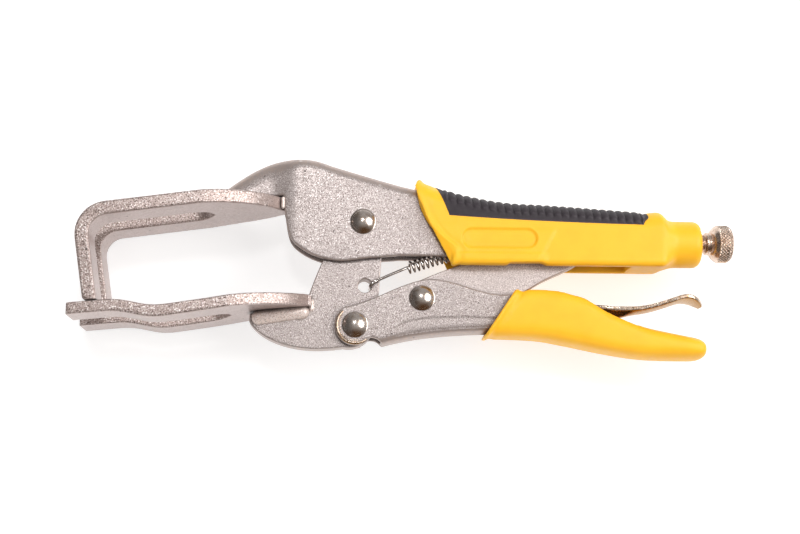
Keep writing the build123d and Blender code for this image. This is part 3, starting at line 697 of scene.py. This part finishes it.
def threaded_rod():
    """The adjusting screw, its thread a ridge that climbs one pitch a turn."""
    sides = 40
    rows = int((SCREW_X[1] - SCREW_X[0]) / THREAD_PITCH * 8)
    angles = np.linspace(0, 2 * math.pi, sides, endpoint=False)
    points = []
    for x in np.linspace(SCREW_X[0], SCREW_X[1], rows):
        phase = (x / THREAD_PITCH - angles / (2 * math.pi)) % 1.0
        radius = SCREW_R - THREAD_DEPTH * np.clip(np.abs(2 * phase - 1) * 1.25 - 0.12, 0, 1)
        radius *= 1 - 0.25 * step(SCREW_X[0] + 1.2 - x, 0, 1.2)
        points.append(np.stack([
            np.full(sides, x), SCREW_Y + radius * np.cos(angles), radius * np.sin(angles)], 1))
    mesh = new_mesh("threaded_rod", np.concatenate(points), grid_faces(rows, sides, True, True))
    tidy_normals(mesh)
    return add_piece("threaded_rod", mesh, "screw_steel", body_of_node["adjusting_screw"],
                     ["adjusting_screw"], 50.0)


threaded_rod()


def knob():
    """Grooved neck, bowed flank, a diamond-knurled band and a rounded outer end."""
    columns = KNURLS * 8
    angles = np.linspace(0, 2 * math.pi, columns, endpoint=False)
    plain = [(0.0, 4.2), (0.0, 4.7), (0.25, 4.9), (0.55, 4.9), (0.75, 4.5), (0.95, 4.5),
             (1.15, 4.9), (1.5, 4.95), (1.7, 4.7), (1.9, 4.75), (2.05, 5.3), (2.5, 5.95),
             (3.0, 6.6), (3.6, 7.15), (4.3, 7.6), (4.75, 7.85)]
    band = [(4.9 + 5.6 * k / 30, KNOB_R - 1.1 * max(0.0, k / 30 - 0.72) ** 1.6 * 6) for k in range(31)]
    end = [(10.8, 6.9), (11.15, 6.2), (11.35, 5.2), (11.4, 4.0), (11.4, 2.4), (11.3, 1.2), (11.28, 0.01)]
    points = []
    for along, radius in plain + band + end:
        ring = np.full(columns, radius)
        if (along, radius) in band:
            lead = along / 1.5
            left = np.abs(2 * ((angles / (2 * math.pi) * KNURLS + lead) % 1.0) - 1)
            right = np.abs(2 * ((angles / (2 * math.pi) * KNURLS - lead) % 1.0) - 1)
            cut = np.clip(1.25 * np.maximum(left, right) - 0.25, 0, 1)
            inset = min(along - band[0][0], band[-1][0] - along)
            ring = ring - 0.55 * cut * step(inset, -0.1, 0.3)
        points.append(np.stack([
            np.full(columns, KNOB_X[0] + along), SCREW_Y + ring * np.cos(angles),
            ring * np.sin(angles)], 1))
    mesh = new_mesh("knurled_adjuster", np.concatenate(points),
                    grid_faces(len(points), columns, True, True))
    tidy_normals(mesh)
    return add_piece("knurled_adjuster", mesh, "screw_steel", body_of_node["knurled_knob"],
                     ["knurled_knob"], 50.0)


knob()

# ---- coined rim round the lower handle's front eye ----
def coined_rim():
    """Two thin ridges on each cheek, fading out where the eye runs into the handle."""
    count = 60
    place = pivot_mm("handle_swing")
    angles = np.radians(np.linspace(118, 312, count))
    from_end = np.minimum(np.arange(count), count - 1 - np.arange(count))
    fade = np.clip(from_end / 9.0, 0.05, 1) ** 0.5
    tubes = []
    for side in (-1, 1):
        for radius, thick, proud in ((7.55, 0.75, 0.12), (6.35, 0.35, -0.12)):
            path = np.stack([place[0] + radius * np.cos(angles), place[1] + radius * np.sin(angles),
                             side * (BODY_HALF + proud - thick * 0.55 * (2 - fade))], 1)
            tubes.append(tube(path, thick * fade, 12))
    mesh = joined("coined_eye_rim", tubes)
    return add_piece("coined_eye_rim", mesh, "lever_steel", "lower_handle")


coined_rim()

# ---- upper grip ----
GRIP_HALF = 11.6
GRIP_BOTTOM = -18.5
GRIP_END = 145.3
BARREL_Y = -7.2
BARREL_R = 10.0
CROWN = 9.0                      # height of the rounded crown
HEEL_R = 2.2                     # round along the lower corners
END_ROUND = 3.4                  # round at the end of the barrel
BARREL_BLEND = (126.5, 134.0)    # where the boxy section turns into the barrel
grip_top = line_of([(18.0, 19.6), (23.8, 19.2), (27.0, 17.6), (31.5, 15.8), (36.7, 13.7),
                    (41.8, 12.3), (47.0, 11.2), (52.1, 10.2), (57.3, 9.4), (65.0, 8.6),
                    (75.4, 8.2), (91.0, 7.3), (112.0, 5.9), (119.5, 5.4), (122.5, 6.2),
                    (127.5, 6.4), (133.0, 3.6), (146.0, 2.8)])
grip_front = line_of([(-19.0, 36.8), (-14.0, 37.8), (-11.0, 37.4), (-7.5, 32.9), (-2.8, 28.5),
                      (2.5, 25.4), (8.0, 23.4), (13.0, 21.9), (15.5, 21.6), (19.6, 23.9)])
insert_low = line_of([(28.0, 2.6), (35.4, 1.7), (54.1, 0.7), (74.6, -0.2), (98.5, -0.9),
                      (121.0, -1.2), (124.0, -1.2)])


def half_section(x):
    """Half outline across the upper grip at x, from the middle of its top to the middle of its
    bottom, as (z, y) points with even steps."""
    top = float(grip_top(x))
    shoulder = top - CROWN
    arc = np.linspace(0, math.pi / 2, 28)
    crown = np.stack([GRIP_HALF * np.sin(arc) ** 0.95, shoulder + CROWN * np.cos(arc) ** 0.9], 1)
    corner = np.linspace(0, math.pi / 2, 7)
    heel = np.stack([GRIP_HALF - HEEL_R + HEEL_R * np.cos(corner),
                     GRIP_BOTTOM + HEEL_R - HEEL_R * np.sin(corner)], 1)
    line = np.vstack([crown, heel, [(0.0, GRIP_BOTTOM)]])
    lengths = np.concatenate([[0], np.cumsum(np.linalg.norm(np.diff(line, axis=0), axis=1))])
    even = np.linspace(0, lengths[-1], 64)
    body = np.stack([np.interp(even, lengths, line[:, k]) for k in (0, 1)], 1)
    spread = np.arctan2(body[:, 0], body[:, 1] - BARREL_Y)
    tip = np.clip((x - (GRIP_END - END_ROUND)) / END_ROUND, 0, 1)
    radius = BARREL_R - END_ROUND * (1 - math.sqrt(max(0.0, 1 - tip ** 2)))
    barrel = np.stack([radius * np.sin(spread), BARREL_Y + radius * np.cos(spread)], 1)
    share = float(step(x, *BARREL_BLEND))
    return body * (1 - share) + barrel * share


def front_bead(distance):
    """Raised lip along a grip's front edge, with a shallow groove behind it."""
    return 0.55 * np.exp(-((distance - 0.9) / 0.85) ** 2) - 0.30 * np.exp(-((distance - 3.0) / 0.8) ** 2)


def upper_grip_form():
    """The grip's outer form, swept from its slanted front edge to its end."""
    rows, points = 150, []
    for k in range(rows):
        s = k / (rows - 1)
        half = half_section(24.0 + (GRIP_END - 24.0) * s)
        for _ in range(4):
            xs = grip_front(half[:, 1])
            xs = xs + (GRIP_END - xs) * s
            half = np.array([half_section(x)[i] for i, x in enumerate(xs)])
        lip = front_bead((xs - grip_front(half[:, 1])) * 0.85)
        centre = np.array((0.0, -6.0))
        outward = (half - centre) / np.linalg.norm(half - centre, axis=1)[:, None]
        half = half + outward * lip[:, None]
        near = np.stack([xs, half[:, 1], half[:, 0]], 1)
        far = near[-2:0:-1] * (1, 1, -1)
        points.append(np.vstack([near, far]))
    cols = len(points[0])
    mesh = new_mesh("grip_form", np.concatenate(points), grid_faces(rows, cols, True, True))
    tidy_normals(mesh)
    return mesh


def prism(name, outline, half_width, middle=0.0):
    """Closed prism across the tool from an outline of (x, y) points."""
    count = len(outline)
    points = [(x, y, middle - half_width) for x, y in outline]
    points += [(x, y, middle + half_width) for x, y in outline]
    faces = [tuple(range(count)), tuple(reversed(range(count, 2 * count)))]
    faces += [(i, (i + 1) % count, (i + 1) % count + count, i + count) for i in range(count)]
    mesh = new_mesh(name, points, faces)
    tidy_normals(mesh)
    return mesh


def rod_mesh(name, x0, x1, y, radius, sides=48):
    """A plain round rod along the tool."""
    angles = np.linspace(0, 2 * math.pi, sides, endpoint=False)
    points = []
    for x in (x0, x1):
        points.append(np.stack([np.full(sides, x), y + radius * np.cos(angles),
                                radius * np.sin(angles)], 1))
    mesh = new_mesh(name, np.concatenate(points), grid_faces(2, sides, True, True))
    tidy_normals(mesh)
    return mesh


RECESS = (57.3, -7.4)
RECESS_LENGTH = 31.5
RECESS_WIDTH = 8.2
RECESS_DEPTH = 1.0
CHANNEL_CLEAR = 0.15


def obround(points):
    """Distance outside the obround recess's edge; below 0 inside it."""
    half_run = (RECESS_LENGTH - RECESS_WIDTH) / 2
    dx = np.maximum(np.abs(points[:, 0] - RECESS[0]) - half_run, 0)
    return np.hypot(dx, points[:, 1] - RECESS[1]) - RECESS_WIDTH / 2


def make_upper_grip():
    """The hollow upper grip, with a plain recess on its near side."""
    roof = [(10.0, 18.0), (15.8, 16.5), (28.0, 13.7), (44.0, 9.9), (58.0, 7.5), (90.0, 5.5),
            (127.2, 3.1)]
    channel = prism("channel_room", roof + [(127.2, -14.85), (114.0, -14.95), (114.0, -30.0),
                                            (10.0, -30.0)], BODY_HALF + CHANNEL_CLEAR)
    notch = prism("near_notch", [(61.0, -17.6), (75.0, -17.5), (77.0, -18.2), (77.0, -22.0),
                                 (61.0, -22.0)], 5.0, 11.0)
    socket = rod_mesh("socket_room", 126.0, 160.0, SCREW_Y, 8.15)
    mesh = moulding(upper_grip_form(), [channel, notch, socket], 0.5, 5)
    p = get_points(mesh)
    outer = np.abs(p[:, 2]) > 9.0
    side = np.sign(p[:, 2]) * outer
    # Raised field round the recess, ending at a slanted crease; a flange flares out below it.
    crease = step(76.5 + (p[:, 1] + 13.4) * 0.55 - p[:, 0], -0.4, 2.0)
    field = crease * step(-p[:, 1], 1.5, 6.0) * step(p[:, 0], 38.0, 46.0)
    flange = step(-p[:, 1], 13.0, 14.4) * step(78.5 - p[:, 0], 0.0, 3.0) * step(p[:, 0], 36.0, 42.0)
    p[:, 2] += side * (0.55 * field + 0.45 * flange)
    p[:, 2] -= side * RECESS_DEPTH * (p[:, 2] > 0) * step(-obround(p), -0.45, 0.45)
    set_points(mesh, p)
    return add_piece("moulded_upper_grip", mesh, "yellow_grip", "upper_handle", ["upper_grip"])


make_upper_grip()

RIB_PITCH = 3.42
RIB_START = 36.0
RIB_END = 118.5


INSERT_ROWS = 420
INSERT_COLS = 56
INSERT_SKIN = 0.9
SKIRT = 5                        # rows at each end that sink into the grip


def insert_section_table(shares):
    """A function giving (z, y) across the grip's crown for a list of x, one per share of the
    way from the middle of its top to the insert's lower edge."""
    stations = np.linspace(26.0, 124.0, 200)
    table = []
    for x in stations:
        half = half_section(x)
        lengths = np.concatenate([[0], np.cumsum(np.linalg.norm(np.diff(half, axis=0), axis=1))])
        low = float(insert_low(x))
        reach = np.interp(-low, -half[:, 1], lengths)
        spots = np.abs(shares) * reach
        table.append(np.stack([np.interp(spots, lengths, half[:, 0]) * np.sign(shares),
                               np.interp(spots, lengths, half[:, 1])], 1))
    table = np.array(table)

    def section_at(x_values):
        z = np.array([np.interp(x, stations, table[:, i, 0]) for i, x in enumerate(x_values)])
        y = np.array([np.interp(x, stations, table[:, i, 1]) for i, x in enumerate(x_values)])
        return z, y
    return section_at


def insert_height(x, depth, edge):
    """How far the insert stands proud: ribs over its crown, flat below, sunk at its edge."""
    sunk = 1 - step(edge, 0.0, 0.7)
    on_ribs = (1 - step(depth, 4.9, 6.5)) * step(x, RIB_START - 2.2, RIB_START - 0.6)
    on_ribs = on_ribs * (1 - step(x, RIB_END, RIB_END + 1.4))
    phase = (x - RIB_START) / RIB_PITCH % 1.0
    ridge = np.clip(np.sin(math.pi * phase), 0, 1) ** 0.55
    return 0.22 * (1 - on_ribs) + on_ribs * (0.10 + 0.95 * ridge) - 0.9 * sunk


def shell_faces(rows, cols):
    """Faces of a grid with a second grid inside it, closed all round their rims."""
    count = rows * cols
    faces = grid_faces(rows, cols, False)
    faces += [tuple(count + i for i in reversed(f)) for f in grid_faces(rows, cols, False)]
    rim = list(range(cols))
    rim += [r * cols + cols - 1 for r in range(1, rows)]
    rim += [(rows - 1) * cols + c for c in range(cols - 2, -1, -1)]
    rim += [r * cols for r in range(rows - 2, 0, -1)]
    for a, b in zip(rim, rim[1:] + rim[:1]):
        faces.append((b, a, count + a, count + b))
    return faces


def make_insert():
    """The soft ribbed insert, laid over the upper grip's crown."""
    rows, cols = INSERT_ROWS, INSERT_COLS
    points = np.zeros((rows, cols, 3))
    shares = np.linspace(-1, 1, cols)
    section_at = insert_section_table(shares)
    for r in range(rows):
        s = np.clip((r - SKIRT) / (rows - 1 - 2 * SKIRT), 0, 1)
        x = np.full(cols, 31.0 + 90.0 * s)
        for _ in range(4):
            z, y = section_at(x)
            first = 31.2 + np.clip(13.5 - y, -4, 11) * 0.40
            last = 121.9 - 2.6 * step(3.0 - y, 0.0, 3.4)
            x = first + (last - first) * s
        z, y = section_at(x)
        top = grip_top(x)
        edge = np.minimum(np.minimum(x - first, last - x), (1 - np.abs(shares)) * 17.0)
        height = insert_height(x, top - y, edge)
        outward = np.stack([z, (y - (top - CROWN)) * 1.1 + 1e-6], 1)
        outward[:, 1] = np.maximum(outward[:, 1], 0)
        outward /= np.linalg.norm(outward, axis=1)[:, None]
        points[r] = np.stack([x, y + outward[:, 1] * height, z + outward[:, 0] * height], 1)
    for k in range(SKIRT):
        sink = (SKIRT - k) * 0.16
        points[k, :, 1] -= sink
        points[rows - 1 - k, :, 1] -= sink
    outer = points.reshape(-1, 3)
    middle = np.stack([outer[:, 0], np.full(len(outer), -4.0), np.zeros(len(outer))], 1)
    inward = middle - outer
    inner = outer + inward / np.linalg.norm(inward, axis=1)[:, None] * INSERT_SKIN
    mesh = new_mesh("ribbed_insert", np.concatenate([outer, inner]), shell_faces(rows, cols))
    tidy_normals(mesh)
    return add_piece("ribbed_insert", mesh, "soft_insert", "upper_handle", ["upper_grip_insert"])


make_insert()

# ---- lower grip ----
LOWER_HALF = 10.4
LOWER_END = 145.3
LOWER_FRONT = (64.2, -28.6)      # top of the slanted front edge
LOWER_SLANT = 0.684              # how far the front edge moves along per unit of height
LOWER_TIP = 138.5                # where the end starts to round off
lower_top = line_of([(50.0, -28.4), (64.2, -28.4), (71.0, -27.7), (81.5, -28.1), (88.6, -29.8),
                     (94.0, -31.5), (104.0, -37.6), (117.5, -43.0), (130.0, -45.7), (146.0, -48.8)])
lower_low = line_of([(48.0, -48.2), (72.0, -48.9), (85.4, -51.0), (100.0, -53.9), (115.8, -56.5),
                     (129.0, -57.35), (146.0, -57.35)])


def lower_grip_form():
    """The lower grip's outer form, a rounded box that turns to an oval towards its end."""
    rows, cols = 130, 96
    turn = np.linspace(0, 2 * math.pi, cols, endpoint=False)
    points = []
    for k in range(rows):
        s = k / (rows - 1)
        x = np.full(cols, 64.0 + (LOWER_END - 64.0) * s)
        for _ in range(5):
            high, low = lower_top(x), lower_low(x)
            tip = np.clip((x - LOWER_TIP) / (LOWER_END - LOWER_TIP), 0, 1)
            shrink = np.clip(1 - tip ** 3.2, 0, 1) ** (1 / 3.2)
            square = 2 / (4.2 - 1.7 * step(x, 100.0, 132.0))
            c, sn = np.cos(turn), np.sin(turn)
            y = (high + low) / 2 + (high - low) / 2 * np.sign(c) * np.abs(c) ** square * shrink
            z = LOWER_HALF * np.sign(sn) * np.abs(sn) ** square * (0.35 + 0.65 * shrink)
            first = LOWER_FRONT[0] + (y - LOWER_FRONT[1]) * LOWER_SLANT
            x = first + (LOWER_END - first) * s
        lip = front_bead((x - first) * 0.82 + 0.1) * 1.45
        outward = np.stack([y - (high + low) / 2, z], 1)
        outward /= np.maximum(np.linalg.norm(outward, axis=1), 1e-9)[:, None]
        y = y + outward[:, 0] * lip
        z = z + outward[:, 1] * lip
        points.append(np.stack([x, y, z], 1))
    mesh = new_mesh("lower_form", np.concatenate(points), grid_faces(rows, cols, True, True))
    tidy_normals(mesh)
    return mesh


def make_lower_grip():
    """The lower grip, hollowed for the folded handle and open on top for the lever."""
    floor_line = [(30.0, -48.4), (50.5, -46.8), (72.0, -47.0), (85.0, -49.1), (116.0, -54.4),
                  (139.0, -55.5)]
    room = prism("lower_room", floor_line + [(141.5, -55.0), (141.5, -50.9), (122.0, -48.4),
                                             (116.0, -46.0), (116.0, 0.0), (30.0, 0.0)], 7.15)
    mesh = moulding(lower_grip_form(), [room], 0.5, 6)
    return add_piece("moulded_lower_grip", mesh, "yellow_grip", "lower_handle", ["lower_grip"])


make_lower_grip()

# ---- what is still shown as CAD ----
for node, cad in frame["nodes"].items():
    if not cad.hide_render:
        finish_of = materials[slot_of[node]]
        cad.data.materials.clear()
        cad.data.materials.append(finish_of)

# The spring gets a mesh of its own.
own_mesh(spring)

# ---- floor, light ----
floor_z = cad_box[0].z
bpy.ops.mesh.primitive_plane_add(size=8.0, location=(0, 0, floor_z))
floor = bpy.context.object
floor.name = "floor"
pale = Finish("pale_floor")
pale.close(Base_Color=(0.5, 0.5, 0.5, 1), Roughness=0.9)
pale.shader.inputs["Emission Color"].default_value = (1, 1, 1, 1)
pale.shader.inputs["Emission Strength"].default_value = 0.66
floor.data.materials.append(pale.material)


def studio_world():
    """Dim surround, darker towards the jaws' side and warm brown from below."""
    world = bpy.data.worlds.new("studio")
    scene.world = world
    world.use_nodes = True
    tree = world.node_tree
    background = tree.nodes["Background"]
    place = tree.nodes.new("ShaderNodeTexCoord")
    split = tree.nodes.new("ShaderNodeSeparateXYZ")
    tree.links.new(place.outputs["Generated"], split.inputs[0])
    colour = None
    for axis, low, high, shade in (("Y", -0.15, -0.75, (0.16, 0.085, 0.04)),
                                   ("X", -0.05, -0.7, (0.20, 0.185, 0.18))):
        share = tree.nodes.new("ShaderNodeMapRange")
        share.inputs["From Min"].default_value = low
        share.inputs["From Max"].default_value = high
        tree.links.new(split.outputs[axis], share.inputs["Value"])
        mix = tree.nodes.new("ShaderNodeMix")
        mix.data_type = "RGBA"
        mix.inputs[6].default_value = (0.62, 0.60, 0.59, 1)
        mix.inputs[7].default_value = (*shade, 1)
        tree.links.new(share.outputs["Result"], mix.inputs[0])
        if colour is not None:
            tree.links.new(colour, mix.inputs[6])
        colour = mix.outputs[2]
    tree.links.new(colour, background.inputs["Color"])
    background.inputs["Strength"].default_value = 0.62


studio_world()
scene.view_settings.view_transform = "Standard"


def softbox(name, place, aim, size, power, tint=(1.0, 1.0, 1.0), glossy=True):
    """A soft oval lamp at place, turned to aim."""
    data = bpy.data.lights.new(name, "AREA")
    data.shape = "ELLIPSE"
    data.size, data.size_y = size
    data.energy = power
    data.color = tint
    lamp = bpy.data.objects.new(name, data)
    scene.collection.objects.link(lamp)
    lamp.visible_glossy = glossy
    place, aim = Vector(place), Vector(aim)
    turn = (place - aim).to_track_quat("Z", "Y").to_matrix().to_4x4()
    lamp.matrix_world = Matrix.Translation(place) @ turn


softbox("key", (-0.05, 0.25, 0.8), (0, 0, 0), (0.12, 0.12), 1.2)
softbox("right", (0.50, 0.10, 0.52), (0, 0, 0), (0.62, 0.56), 3.4, (1.0, 0.985, 0.97))
softbox("top", (-0.10, 0.55, 0.65), (0, 0, 0), (0.7, 0.3), 2.2, (1.0, 0.985, 0.97), glossy=False)
softbox("left", (-0.6, -0.1, 0.6), (0, 0, 0), (0.4, 0.5), 1.2, (1.0, 0.98, 0.96), glossy=False)
softbox("front", (0.05, -0.65, 0.35), (0, 0, 0), (0.7, 0.4), 1.4, (1.0, 0.99, 0.98), glossy=False)
